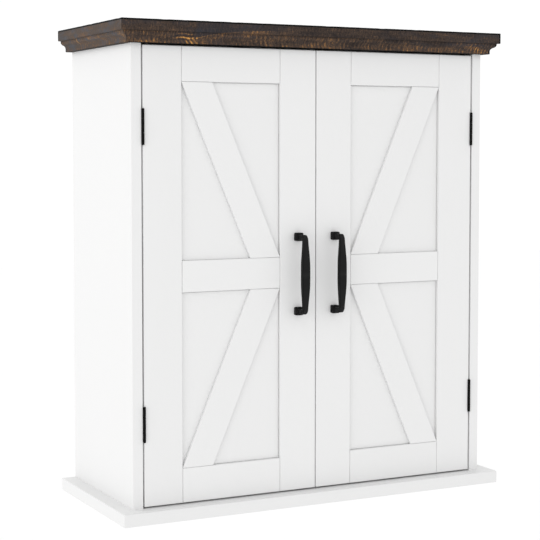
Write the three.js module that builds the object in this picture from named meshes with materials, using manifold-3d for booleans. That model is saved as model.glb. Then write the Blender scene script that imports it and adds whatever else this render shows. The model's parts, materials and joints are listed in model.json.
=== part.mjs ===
import * as THREE from 'three';
import { mergeVertices } from 'three/addons/utils/BufferGeometryUtils.js';
import Module from 'manifold-3d';

// A hanging wall cabinet with two inset, cross-braced doors on butt hinges, in millimetres.
// X runs to the right, Y back into the wall and Z up. The cabinet is built with its underside
// at z = 0 and its back on the wall plane y = 0, and is lowered at the end so that the origin
// lies on the wall plane, in the middle of the hanging rail.

// Outer size, over the crown and the base board
const overallWidth = 551;
const overallDepth = 231.5;
const overallHeight = 617.5;
const sideOverhang = 19.5;
const frontOverhang = 19.5;

// Carcass boards
const baseThickness = 16;
const sideThickness = 13;
const topThickness = 12;
const backThickness = 3;
const backTongue = 6;
const railThickness = 15;
const hangingRailHeight = 70;
const lowerRailHeight = 50;
const wallScrewSpacing = 406;
const wallScrewRadius = 3;

// Crown moulding, mitred round the front and both sides
const crownHeight = 28;
const crownMemberWidth = 50;
const fasciaHeight = 14;
const ledgeDepth = 3.6;
const ledgeDrop = 0.8;
const ogeeSweep = 3.8;
const footInset = 10.4;
const footHeight = 3.9;
const mitreGap = 0.3;

// Shelves and their supports
const shelfThickness = 12;
const shelfEndGap = 0.5;
const shelfBackGap = 1;
const shelfSetback = 7;
const lowerShelfRise = 179;
const upperShelfRise = 370;
const pinHolePitch = 32;
const pinHoleRadius = 2.6;
const pinHoleDepth = 8.5;
const pinShankRadius = 2.4;
const pinShankLength = 8;
const pinRowInset = 40;
const pinPlateLength = 9;
const pinPlateWidth = 8;
const pinPlateThickness = 1.4;
const pinFlangeThickness = 1;
const pinFlangeDrop = 4;

// Doors: a grooved frame round a thin panel, with a mid rail and two braces laid on the panel
const doorThickness = 15;
const sideGap = 2.2;
const centreGap = 1.2;
const doorTopGap = 2;
const doorBottomGap = 2;
const doorStopGap = 0.5;
const stileWidth = 51.5;
const doorRailHeight = 43.5;
const midRailHeight = 39.5;
const midRailDrop = 0.5;
const braceCutLength = 42;
const panelSetback = 4.5;
const panelThickness = 6;
const panelPlay = 0.2;
const grooveDepth = 8;
const tongueGap = 0.5;
const tonguePlay = 0.2;

// Butt hinges
const hingeTopDistance = 99.5;
const hingeBottomDistance = 103;
const hingeLength = 44.6;
const knuckleRadius = 1.7;
const knuckleProud = 1.2;
const knuckleInset = 0.85;
const knucklePlay = 0.2;
const middleKnuckleLength = 15;
const pinRadius = 0.9;
const pinBoreRadius = 1.05;
const pinHeadHeight = 1.2;
const leafThickness = 1;
const leafWidth = 13;
const leafGap = 0.3;
const leafCutGap = 0.3;

// Pull handles
const handleHoleSpacing = 96;
const handleFromEdge = 26.3;
const handleDrop = 3;
const handleFootSize = 10.6;
const handleFootThickness = 7;
const handleFootRound = 1;
const neckHeight = 7.5;
const barBack = 18.4;
const barEndThickness = 4.5;
const barMidThickness = 7;
const barEndWidth = 6.4;
const barMidWidth = 11;
const barCornerCut = 2.6;
const handleScrewRadius = 1.9;
const handleScrewPlay = 0.25;
const handleScrewBite = 7;
const handleScrewHeadRadius = 3.6;
const handleScrewHeadHeight = 2.2;

// Magnetic catches under the top board, with strike plates on the doors
const catchFromMiddle = 30;
const catchLength = 30;
const catchHeight = 13;
const catchDepth = 15;
const catchEarLength = 7;
const catchEarThickness = 2.5;
const catchScrewRadius = 1.6;
const catchStrikeGap = 0.3;
const strikeLength = 34;
const strikeHeight = 11;
const strikeThickness = 1;

// Round parts have this many sides; a cutter reaches this far past the face that it enters
const pinHoleSides = 12;
const barrelSides = 16;
const overrun = 1;

// Levels and planes worked out from the sizes above
const crownBase = overallHeight - crownHeight;
const topUnderside = crownBase - topThickness;
const bodyHalf = overallWidth / 2 - sideOverhang;
const innerHalf = bodyHalf - sideThickness;
const faceY = frontOverhang - overallDepth;
const doorBackY = faceY + doorThickness;
const caseFrontY = doorBackY + doorStopGap;
const backPanelY = -backThickness;
const originHeight = topUnderside - hangingRailHeight / 2;
const doorBottom = baseThickness + doorBottomGap;
const doorTop = crownBase - doorTopGap;
const doorMiddle = (doorBottom + doorTop) / 2;
const hingeEdge = innerHalf - sideGap;
const lockEdge = centreGap / 2;
const hingeInner = hingeEdge - stileWidth;
const lockInner = lockEdge + stileWidth;
const openBottom = doorBottom + doorRailHeight;
const openTop = doorTop - doorRailHeight;
const midRailBottom = doorMiddle - midRailDrop - midRailHeight / 2;
const midRailTop = midRailBottom + midRailHeight;
const axisX = innerHalf - sideGap / 2 - knuckleInset;
const axisY = faceY - knuckleProud;
const hingeLevels = { upper: doorTop - hingeTopDistance, lower: doorBottom + hingeBottomDistance };
const leafLength = hingeLength - 2 * pinHeadHeight;
const shelfLevels = { lower: baseThickness + lowerShelfRise, upper: baseThickness + upperShelfRise };
const handleX = lockEdge + handleFromEdge;
const handleZ = doorMiddle - handleDrop;

const wasm = await Module();
wasm.setup();

const whitePaint = { color: 0xefefee, roughness: 0.45, metalness: 0 };
const darkWood = { color: 0x4b423c, roughness: 0.7, metalness: 0 };
const backBoard = { color: 0xe6e5e1, roughness: 0.6, metalness: 0 };
const blackIron = { color: 0x1b1b1c, roughness: 0.5, metalness: 0.6 };
const zincSteel = { color: 0xb4b6b8, roughness: 0.35, metalness: 1 };
const catchPlastic = { color: 0xe9e8e4, roughness: 0.5, metalness: 0 };

const ascending = (a, b) => [Math.min(a, b), Math.max(a, b)];

// A closed mesh with its shared corners merged, as a solid that can be cut and joined.
function solidOf(geometry) {
  const bare = geometry.index ? geometry.toNonIndexed() : geometry.clone();
  bare.deleteAttribute('normal');
  bare.deleteAttribute('uv');
  const merged = mergeVertices(bare, 1e-4);
  return new wasm.Manifold(new wasm.Mesh({
    numProp: 3,
    vertProperties: new Float32Array(merged.attributes.position.array),
    triVerts: new Uint32Array(merged.index.array),
  }));
}

function geometryOf(solid) {
  const mesh = solid.getMesh();
  const geometry = new THREE.BufferGeometry();
  geometry.setAttribute('position', new THREE.BufferAttribute(mesh.vertProperties, 3));
  geometry.setIndex(new THREE.BufferAttribute(mesh.triVerts, 1));
  return geometry;
}

const cut = (body, cutters) =>
  geometryOf(cutters.map(solidOf).reduce((a, b) => a.subtract(b), solidOf(body)));
const join = (pieces) => geometryOf(pieces.map(solidOf).reduce((a, b) => a.add(b)));
const common = (a, b) => geometryOf(solidOf(a).intersect(solidOf(b)));

// A box between two limits along each axis.
function block(x, y, z) {
  const geometry = new THREE.BoxGeometry(x[1] - x[0], y[1] - y[0], z[1] - z[0]);
  return geometry.translate((x[0] + x[1]) / 2, (y[0] + y[1]) / 2, (z[0] + z[1]) / 2);
}

// A round bar along one axis, between two limits on it; the other two coordinates place it.
function rod(axis, radius, [from, to], place, sides = barrelSides) {
  const geometry = new THREE.CylinderGeometry(radius, radius, to - from, sides);
  geometry.translate(0, (from + to) / 2, 0);
  if (axis === 'x') geometry.rotateZ(-Math.PI / 2);
  if (axis === 'z') geometry.rotateX(Math.PI / 2);
  return geometry.translate(...place);
}

// An outline extruded along the axis that its across and up axes leave.
function extrude(shape, depth, across, up, origin, options = {}) {
  const geometry = new THREE.ExtrudeGeometry(shape, { depth, bevelEnabled: false, ...options });
  const along = new THREE.Vector3().crossVectors(across, up);
  geometry.applyMatrix4(new THREE.Matrix4().makeBasis(across, up, along));
  return geometry.translate(...origin);
}

const axes = {
  right: new THREE.Vector3(1, 0, 0),
  left: new THREE.Vector3(-1, 0, 0),
  back: new THREE.Vector3(0, 1, 0),
  forward: new THREE.Vector3(0, -1, 0),
  up: new THREE.Vector3(0, 0, 1),
};

const polygon = (points) => new THREE.Shape(points.map(([x, y]) => new THREE.Vector2(x, y)));

// Centres a geometry on its own middle and hangs it in a group at the place where it was drawn.
function addPiece(group, name, geometry, look, place = [0, 0, 0]) {
  geometry.computeBoundingBox();
  const middle = geometry.boundingBox.getCenter(new THREE.Vector3());
  geometry.translate(-middle.x, -middle.y, -middle.z);
  geometry.computeVertexNormals();
  const mesh = new THREE.Mesh(geometry, new THREE.MeshStandardMaterial({ ...look, flatShading: true }));
  mesh.name = name;
  mesh.position.copy(middle).add(new THREE.Vector3(...place));
  group.add(mesh);
}

// ---- Carcass ----

// Holes for the supports of one shelf: at the shelf, and one pitch above and below it.
function pinHolePlaces() {
  const rows = [faceY + pinRowInset, backPanelY - pinRowInset];
  const levels = Object.values(shelfLevels).map((level) => level - pinShankRadius);
  return levels.flatMap((level) =>
    [-pinHolePitch, 0, pinHolePitch].flatMap((step) => rows.map((y) => [y, level + step])));
}

function sidePanel(side) {
  const panel = block(ascending(side * innerHalf, side * bodyHalf), [faceY, 0], [baseThickness, crownBase]);
  const rabbet = block(
    ascending(side * (innerHalf - overrun), side * (innerHalf + backTongue)),
    [backPanelY, overrun],
    [baseThickness - overrun, crownBase + overrun],
  );
  const leafOuter = axisX + knuckleInset + leafGap / 2 + leafThickness;
  const mortises = Object.values(hingeLevels).map((level) => block(
    ascending(side * (innerHalf - overrun), side * leafOuter),
    [faceY - overrun, axisY + leafWidth],
    [level - leafLength / 2, level + leafLength / 2],
  ));
  const holes = pinHolePlaces().map(([y, z]) => rod(
    'x',
    pinHoleRadius,
    ascending(side * (innerHalf - overrun), side * (innerHalf + pinHoleDepth)),
    [0, y, z],
    pinHoleSides,
  ));
  return cut(panel, [rabbet, ...mortises, ...holes]);
}

// Clearance holes for the wall screws, through the boards behind the given plane.
const wallScrewHoles = (level, frontY) => [-1, 1].map((side) =>
  rod('y', wallScrewRadius, [frontY - overrun, overrun], [side * wallScrewSpacing / 2, 0, level]));

function addCarcass(cabinet) {
  const wide = [-overallWidth / 2, overallWidth / 2];
  const inside = [-innerHalf, innerHalf];
  const railY = [backPanelY - railThickness, backPanelY];
  const lowerRailMiddle = baseThickness + lowerRailHeight / 2;
  const hanging = wallScrewHoles(originHeight, railY[0]);
  const lower = wallScrewHoles(lowerRailMiddle, railY[0]);

  addPiece(cabinet, 'base_board', block(wide, [-overallDepth, 0], [0, baseThickness]), whitePaint);
  addPiece(cabinet, 'side_panel_left', sidePanel(-1), whitePaint);
  addPiece(cabinet, 'side_panel_right', sidePanel(1), whitePaint);
  addPiece(
    cabinet, 'top_board', block(inside, [caseFrontY, backPanelY], [topUnderside, crownBase]), whitePaint);
  const backHalf = innerHalf + backTongue - tongueGap;
  const back = block([-backHalf, backHalf], [backPanelY, 0], [baseThickness, crownBase]);
  addPiece(cabinet, 'back_panel', cut(back, [...hanging, ...lower]), backBoard);
  const hangingRail = block(inside, railY, [topUnderside - hangingRailHeight, topUnderside]);
  addPiece(cabinet, 'hanging_rail', cut(hangingRail, hanging), whitePaint);
  const lowerRail = block(inside, railY, [baseThickness, baseThickness + lowerRailHeight]);
  addPiece(cabinet, 'lower_back_rail', cut(lowerRail, lower), whitePaint);
}

// ---- Crown ----

// Section of the moulding: inwards from its outer face, and up from its foot.
function crownSection() {
  const ogeeTop = crownHeight - fasciaHeight - ledgeDrop;
  const section = new THREE.Shape();
  section.moveTo(crownMemberWidth, 0);
  section.lineTo(crownMemberWidth, crownHeight);
  section.lineTo(0, crownHeight);
  section.lineTo(0, crownHeight - fasciaHeight);
  section.lineTo(ledgeDepth, crownHeight - fasciaHeight);
  section.lineTo(ledgeDepth, ogeeTop);
  section.bezierCurveTo(
    ledgeDepth, ogeeTop - ogeeSweep, footInset, footHeight + ogeeSweep, footInset, footHeight);
  section.lineTo(footInset, 0);
  return section;
}

function addCrown(cabinet) {
  const section = crownSection();
  const half = overallWidth / 2;
  const member = crownMemberWidth;
  const gap = mitreGap / Math.SQRT2;
  const plan = (points) =>
    extrude(polygon(points), crownHeight + 2 * overrun, axes.right, axes.back, [0, 0, crownBase - overrun]);
  const options = { curveSegments: 8 };

  const frontRun = extrude(
    section, overallWidth, axes.back, axes.up, [-half, -overallDepth, crownBase], options);
  const frontPlan = plan([
    [-half + gap, -overallDepth],
    [half - gap, -overallDepth],
    [half - member - gap, member - overallDepth],
    [member + gap - half, member - overallDepth],
  ]);
  addPiece(cabinet, 'crown_front', common(frontRun, frontPlan), darkWood);

  const leftRun = extrude(section, overallDepth, axes.right, axes.up, [-half, 0, crownBase], options);
  const leftPlan = plan([
    [-half, gap - overallDepth],
    [member - half, member + gap - overallDepth],
    [member - half, 0],
    [-half, 0],
  ]);
  addPiece(cabinet, 'crown_left', common(leftRun, leftPlan), darkWood);

  const rightRun = extrude(
    section, overallDepth, axes.left, axes.up, [half, -overallDepth, crownBase], options);
  const rightPlan = plan([
    [half, gap - overallDepth],
    [half, 0],
    [half - member, 0],
    [half - member, member + gap - overallDepth],
  ]);
  addPiece(cabinet, 'crown_right', common(rightRun, rightPlan), darkWood);
}

// ---- Shelves ----

// A support with its plate's upper face at z = 0 and its flange on the side panel's face.
function shelfSupport(side) {
  const [flangeStart, flangeEnd] = [innerHalf - pinFlangeThickness, innerHalf];
  const halfWidth = [-pinPlateWidth / 2, pinPlateWidth / 2];
  const plate = block(
    ascending(side * (innerHalf - pinPlateLength), side * flangeEnd), halfWidth, [-pinPlateThickness, 0]);
  const flange = block(
    ascending(side * flangeStart, side * flangeEnd),
    halfWidth,
    [-pinShankRadius - pinFlangeDrop, 0],
  );
  const shank = rod(
    'x',
    pinShankRadius,
    ascending(side * flangeStart, side * (innerHalf + pinShankLength)),
    [0, 0, -pinShankRadius],
    pinHoleSides,
  );
  return join([plate, flange, shank]);
}

function addShelves(cabinet) {
  const long = innerHalf - shelfEndGap;
  const deep = [doorBackY + shelfSetback, backPanelY - shelfBackGap];
  const rows = { front: faceY + pinRowInset, rear: backPanelY - pinRowInset };
  for (const [level, z] of Object.entries(shelfLevels)) {
    addPiece(cabinet, `shelf_${level}`, block([-long, long], deep, [z, z + shelfThickness]), whitePaint);
    for (const [hand, side] of [['left', -1], ['right', 1]]) {
      for (const [row, y] of Object.entries(rows)) {
        addPiece(
          cabinet, `shelf_support_${level}_${hand}_${row}`, shelfSupport(side), zincSteel, [0, y, z]);
      }
    }
  }
}

// ---- Catches ----

function addCatch(cabinet, hand, side) {
  const strikeFaceY = doorBackY + strikeThickness;
  const deep = [strikeFaceY + catchStrikeGap, strikeFaceY + catchStrikeGap + catchDepth];
  const middle = side * catchFromMiddle;
  const halfLong = catchLength / 2;
  const body = block(
    [middle - halfLong, middle + halfLong], deep, [topUnderside - catchHeight, topUnderside]);
  const earReach = halfLong + catchEarLength;
  const ears = block(
    [middle - earReach, middle + earReach], deep, [topUnderside - catchEarThickness, topUnderside]);
  const screwHoles = [-1, 1].map((end) => rod(
    'z',
    catchScrewRadius,
    [topUnderside - catchEarThickness - overrun, topUnderside + overrun],
    [middle + end * (halfLong + catchEarLength / 2), (deep[0] + deep[1]) / 2, 0],
    pinHoleSides,
  ));
  addPiece(cabinet, `magnetic_catch_${hand}`, cut(join([body, ears]), screwHoles), catchPlastic);
}

// ---- Hinges ----

// Heights of the knuckles, from the hinge's middle.
const middleKnuckle = [-middleKnuckleLength / 2, middleKnuckleLength / 2];
const outerKnuckles = [
  [middleKnuckle[1] + knucklePlay, leafLength / 2],
  [-leafLength / 2, middleKnuckle[0] - knucklePlay],
];

// A leaf about the pin's axis: a plate behind the barrel, and a tab to each of its knuckles.
function hingeLeaf(side, from, knuckles) {
  const thick = ascending(side * from, side * (from + leafThickness));
  const clear = knuckleRadius + leafCutGap;
  const plate = block(thick, [clear, leafWidth], [-leafLength / 2, leafLength / 2]);
  const tabs = knuckles.map((height) => block(thick, [0, clear + overrun], height));
  const barrels = knuckles.map((height) => rod('z', knuckleRadius, height, [0, 0, 0]));
  const bore = rod('z', pinBoreRadius, [-hingeLength, hingeLength], [0, 0, 0]);
  return cut(join([plate, ...tabs, ...barrels]), [bore]);
}

function hingePin() {
  const shaft = rod('z', pinRadius, [-hingeLength / 2, hingeLength / 2], [0, 0, 0]);
  const upperHead = rod('z', knuckleRadius, [leafLength / 2, hingeLength / 2], [0, 0, 0]);
  const lowerHead = rod('z', knuckleRadius, [-hingeLength / 2, -leafLength / 2], [0, 0, 0]);
  return join([shaft, upperHead, lowerHead]);
}

function addCaseHinges(cabinet, hand, side) {
  for (const [level, z] of Object.entries(hingeLevels)) {
    const place = [side * axisX, axisY, z];
    const leaf = hingeLeaf(side, knuckleInset + leafGap / 2, outerKnuckles);
    addPiece(cabinet, `hinge_case_leaf_${hand}_${level}`, leaf, blackIron, place);
    addPiece(cabinet, `hinge_pin_${hand}_${level}`, hingePin(), blackIron, place);
  }
}

// ---- Handles ----

// A bowed, spindle-shaped bar on two square feet, drawn about the middle of its back plane.
function pullHandle() {
  const footCentre = handleHoleSpacing / 2;
  const footHalf = handleFootSize / 2;
  const neckOuter = footCentre + neckHeight / 2;
  const neckInner = footCentre - neckHeight / 2;
  const endFront = barBack + barEndThickness;
  const midFront = barBack + barMidThickness;

  const side = new THREE.Shape();
  side.moveTo(0, -neckOuter);
  side.lineTo(endFront - barCornerCut, -neckOuter);
  side.lineTo(endFront, barCornerCut - neckOuter);
  side.quadraticCurveTo(2 * midFront - endFront, 0, endFront, neckOuter - barCornerCut);
  side.lineTo(endFront - barCornerCut, neckOuter);
  side.lineTo(0, neckOuter);
  side.lineTo(0, neckInner);
  side.lineTo(barBack, neckInner);
  side.lineTo(barBack, -neckInner);
  side.lineTo(0, -neckInner);

  const front = new THREE.Shape();
  const [endHalf, midHalf] = [barEndWidth / 2, barMidWidth / 2];
  front.moveTo(endHalf, -neckOuter);
  front.bezierCurveTo(endHalf, -neckInner / 2, midHalf, -neckInner / 2, midHalf, 0);
  front.bezierCurveTo(midHalf, neckInner / 2, endHalf, neckInner / 2, endHalf, neckOuter);
  front.lineTo(-endHalf, neckOuter);
  front.bezierCurveTo(-endHalf, neckInner / 2, -midHalf, neckInner / 2, -midHalf, 0);
  front.bezierCurveTo(-midHalf, -neckInner / 2, -endHalf, -neckInner / 2, -endHalf, -neckOuter);

  const reach = midFront + overrun;
  const options = { curveSegments: 8 };
  const fromSide = extrude(
    side, 2 * barMidWidth, axes.forward, axes.up, [barMidWidth, 0, 0], options);
  const fromFront = extrude(front, reach, axes.right, axes.up, [0, 0, 0], options);
  const bar = common(fromSide, fromFront);

  const round = handleFootRound;
  const inner = footHalf - round;
  const footOutline = polygon([[-inner, -inner], [inner, -inner], [inner, inner], [-inner, inner]]);
  const bevel = {
    bevelEnabled: true,
    bevelSize: round,
    bevelThickness: round,
    bevelSegments: 2,
    steps: 1,
  };
  const feet = [-footCentre, footCentre].map((z) => {
    const rounded = extrude(
      footOutline, handleFootThickness - round, axes.right, axes.up, [0, 0, z], bevel);
    return common(rounded, block([-footHalf, footHalf], [-reach, 0], [z - footHalf, z + footHalf]));
  });
  const tappedHoles = [-footCentre, footCentre].map((z) => rod(
    'y',
    handleScrewRadius + handleScrewPlay,
    [-handleScrewBite - overrun, overrun],
    [0, 0, z],
    pinHoleSides,
  ));
  return cut(join([bar, ...feet]), tappedHoles);
}

function handleScrew() {
  const shaft = rod('y', handleScrewRadius, [-doorThickness - handleScrewBite, overrun / 2], [0, 0, 0]);
  const head = rod('y', handleScrewHeadRadius, [0, handleScrewHeadHeight], [0, 0, 0]);
  return join([shaft, head]);
}

// ---- Doors ----

// A door hangs in a group whose z axis is its hinge pins' axis.
function makeDoor(hand, side) {
  const door = new THREE.Group();
  door.position.set(side * axisX, axisY, 0);
  const across = (a, b) => ascending(side * (a - axisX), side * (b - axisX));
  const behindFace = (a, b) => [a + knuckleProud, b + knuckleProud];
  const thickness = behindFace(0, doorThickness);
  const grooveWidth = behindFace(panelSetback, panelSetback + panelThickness + panelPlay);
  const panelY = behindFace(panelSetback, panelSetback + panelThickness);
  const addTo = (name, geometry, look, place) => addPiece(door, `${hand}_${name}`, geometry, look, place);

  const stile = (outerEdge, innerEdge) => {
    const inwards = Math.sign(innerEdge - outerEdge);
    const board = block(across(outerEdge, innerEdge), thickness, [doorBottom, doorTop]);
    const groove = block(
      across(innerEdge + inwards * overrun, innerEdge - inwards * grooveDepth),
      grooveWidth,
      [doorBottom - overrun, doorTop + overrun],
    );
    return cut(board, [groove]);
  };

  const leafInner = axisX + knuckleInset - leafGap / 2 - leafThickness;
  const mortises = Object.values(hingeLevels).flatMap((level) => {
    const leafBed = block(
      across(leafInner, hingeEdge + overrun),
      [knuckleProud - overrun, leafWidth],
      [level - leafLength / 2, level + leafLength / 2],
    );
    const barrelBed = block(
      across(axisX - knuckleRadius - leafCutGap, hingeEdge + overrun),
      [knuckleProud - overrun, knuckleRadius + leafCutGap],
      [level - hingeLength / 2 - leafCutGap, level + hingeLength / 2 + leafCutGap],
    );
    return [leafBed, barrelBed];
  });
  addTo('hinge_stile', cut(stile(hingeEdge, hingeInner), mortises), whitePaint);

  const screwLevels = { upper: handleZ + handleHoleSpacing / 2, lower: handleZ - handleHoleSpacing / 2 };
  const screwX = side * (handleX - axisX);
  const screwHoles = Object.values(screwLevels).map((z) => rod(
    'y',
    handleScrewRadius + handleScrewPlay,
    [thickness[0] - overrun, thickness[1] + overrun],
    [screwX, 0, z],
  ));
  addTo('lock_stile', cut(stile(lockEdge, lockInner), screwHoles), whitePaint);

  // A rail has a groove for the panel and, at both ends, a tongue in the stiles' grooves.
  const rail = (outerEdge, innerEdge) => {
    const height = ascending(outerEdge, innerEdge);
    const inwards = Math.sign(innerEdge - outerEdge);
    const tongue = grooveDepth - tongueGap;
    const board = block(across(lockInner, hingeInner), thickness, height);
    const tongueY = behindFace(panelSetback + tonguePlay, panelSetback + panelThickness - tonguePlay);
    const tongues = block(across(lockInner - tongue, hingeInner + tongue), tongueY, height);
    const groove = block(
      across(lockInner - grooveDepth, hingeInner + grooveDepth),
      grooveWidth,
      ascending(innerEdge - inwards * grooveDepth, innerEdge + inwards * overrun),
    );
    return cut(join([board, tongues]), [groove]);
  };
  addTo('top_rail', rail(doorTop, openTop), whitePaint);
  addTo('bottom_rail', rail(doorBottom, openBottom), whitePaint);

  const tongue = grooveDepth - tongueGap;
  addTo(
    'panel',
    block(across(lockInner - tongue, hingeInner + tongue), panelY, [openBottom - tongue, openTop + tongue]),
    whitePaint,
  );
  addTo(
    'mid_rail',
    block(across(lockInner, hingeInner), behindFace(0, panelSetback), [midRailBottom, midRailTop]),
    whitePaint,
  );

  // A brace runs from a corner by the hinge stile to the mid rail by the lock stile.
  const brace = (hingeEnd, lockEnd) => {
    const outline = [
      [hingeInner, hingeEnd],
      [hingeInner - braceCutLength, hingeEnd],
      [lockInner, lockEnd],
      [lockInner + braceCutLength, lockEnd],
    ].map(([x, z]) => [side * (x - axisX), z]);
    return extrude(polygon(outline), panelSetback, axes.right, axes.up, [0, knuckleProud + panelSetback, 0]);
  };
  addTo('brace_upper', brace(openTop, midRailTop), whitePaint);
  addTo('brace_lower', brace(openBottom, midRailBottom), whitePaint);

  addTo('handle', pullHandle(), blackIron, [screwX, knuckleProud, handleZ]);
  for (const [level, z] of Object.entries(screwLevels)) {
    addTo(`handle_screw_${level}`, handleScrew(), zincSteel, [screwX, thickness[1], z]);
  }

  const strikeLevel = topUnderside - (catchEarThickness + catchHeight) / 2;
  const strike = block(
    across(catchFromMiddle - strikeLength / 2, catchFromMiddle + strikeLength / 2),
    [thickness[1], thickness[1] + strikeThickness],
    [strikeLevel - strikeHeight / 2, strikeLevel + strikeHeight / 2],
  );
  addTo('strike_plate', strike, zincSteel);

  for (const [level, z] of Object.entries(hingeLevels)) {
    const leaf = hingeLeaf(side, knuckleInset - leafGap / 2 - leafThickness, [middleKnuckle]);
    addTo(`hinge_leaf_${level}`, leaf, blackIron, [0, 0, z]);
  }
  return door;
}

const cabinet = new THREE.Group();
addCarcass(cabinet);
addCrown(cabinet);
addShelves(cabinet);
for (const [hand, side] of [['left', -1], ['right', 1]]) {
  addCatch(cabinet, hand, side);
  addCaseHinges(cabinet, hand, side);
  cabinet.add(makeDoor(`${hand}_door`, side));
}
cabinet.position.z = -originHeight;

const part = new THREE.Group();
part.add(cabinet);

export default part;
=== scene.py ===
import json
import math
import random

import bmesh
import bpy
from mathutils import Matrix, Vector, noise


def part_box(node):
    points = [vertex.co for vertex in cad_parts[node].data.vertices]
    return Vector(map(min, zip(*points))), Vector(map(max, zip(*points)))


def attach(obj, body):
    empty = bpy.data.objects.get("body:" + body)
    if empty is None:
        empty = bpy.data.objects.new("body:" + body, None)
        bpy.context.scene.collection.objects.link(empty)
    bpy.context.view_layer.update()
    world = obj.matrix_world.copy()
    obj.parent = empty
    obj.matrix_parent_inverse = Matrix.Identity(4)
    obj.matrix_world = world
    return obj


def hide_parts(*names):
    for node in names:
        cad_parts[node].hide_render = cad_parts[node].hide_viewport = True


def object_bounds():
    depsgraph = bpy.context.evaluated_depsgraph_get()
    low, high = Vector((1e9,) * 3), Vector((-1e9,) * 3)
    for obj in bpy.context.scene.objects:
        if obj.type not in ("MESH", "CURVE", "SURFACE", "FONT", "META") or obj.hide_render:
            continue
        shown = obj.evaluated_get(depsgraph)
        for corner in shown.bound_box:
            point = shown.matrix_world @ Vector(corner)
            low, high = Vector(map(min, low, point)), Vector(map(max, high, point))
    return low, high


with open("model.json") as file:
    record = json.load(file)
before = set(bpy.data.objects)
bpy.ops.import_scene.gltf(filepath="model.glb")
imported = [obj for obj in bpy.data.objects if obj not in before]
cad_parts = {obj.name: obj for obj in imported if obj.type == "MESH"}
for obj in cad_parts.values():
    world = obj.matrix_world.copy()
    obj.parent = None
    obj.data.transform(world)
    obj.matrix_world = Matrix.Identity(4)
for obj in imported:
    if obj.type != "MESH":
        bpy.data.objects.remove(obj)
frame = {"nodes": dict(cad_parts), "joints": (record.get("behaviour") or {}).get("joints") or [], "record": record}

# A hanging wall cabinet: eased white boards, a rough-sawn dark crown moulding, black hinges and pulls.
# Lengths are in metres, in the cabinet's own frame: X to the right, Y into the wall, Z up.

cadLow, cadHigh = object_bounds()
bodyOf = {node: body for body, nodes in frame["record"]["behaviour"]["bodies"].items() for node in nodes}
slotOf = {part["node"]: part["material_slot"] for part in frame["record"]["subparts"]}
doorHands = {"left": -1, "right": 1}
levels = ("upper", "lower")
hair = 1e-6  # lengths under this count as nothing
weld = 1e-7  # points closer than this become one
sharpAngle = math.radians(35)  # edges that turn further than this can be eased
smoothAngle = math.radians(40)  # faces that meet at less than this shade as one


studio = {
    "cameraPlace": (-0.9234, -1.8901, -0.0812),
    "cameraTurn": 27.04,  # degrees to the right of straight ahead
    "cameraTilt": 3.45,  # degrees down
    "lens": 98.48,
    "shift": -0.06,
    "daylight": 1.035,
    "lamps": {
        "frontLeft": {"place": (-4.9, -3.5, 0.3), "size": 3.7, "power": 46.0},
        "rearLeft": {"place": (-2.5, 0.85, 0.75), "size": 1.6, "power": 8.0},
    },
    "floorDrop": 2.20,  # below the underside
    "floorSize": 60.0,
    "floorDull": (0.965, 0.965, 0.965),
    "floorPale": (0.985, 0.985, 0.985),
    "floorClouds": (1.5, 3),
}


def link(thing):
    bpy.context.scene.collection.objects.link(thing)
    return thing


def meshFrom(name, shape):
    mesh = bpy.data.meshes.new(name)
    shape.to_mesh(mesh)
    shape.free()
    return mesh


def gridShape(steps, size):
    shape = bmesh.new()
    bmesh.ops.create_grid(shape, x_segments=steps, y_segments=steps, size=size)
    return shape


def makeCamera():
    camera = link(bpy.data.objects.new("camera", bpy.data.cameras.new("camera")))
    camera.data.lens = studio["lens"]
    camera.data.shift_y = studio["shift"]
    camera.location = studio["cameraPlace"]
    camera.rotation_euler = (math.radians(90 - studio["cameraTilt"]), 0, math.radians(-studio["cameraTurn"]))
    bpy.context.scene.camera = camera


def makeLights():
    scene = bpy.context.scene
    scene.view_settings.view_transform = "Standard"
    world = bpy.data.worlds.new("studio")
    world.use_nodes = True
    sky = world.node_tree.nodes["Background"].inputs
    sky["Color"].default_value = (1, 1, 1, 1)
    sky["Strength"].default_value = studio["daylight"]
    scene.world = world
    middle = (cadLow + cadHigh) / 2
    for name, settings in studio["lamps"].items():
        lamp = link(bpy.data.objects.new(name, bpy.data.lights.new(name, "AREA")))
        lamp.data.size = settings["size"]
        lamp.data.energy = settings["power"]
        aim = (middle - Vector(settings["place"])).to_track_quat("-Z", "Y")
        lamp.matrix_world = Matrix.Translation(settings["place"]) @ aim.to_matrix().to_4x4()


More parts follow.
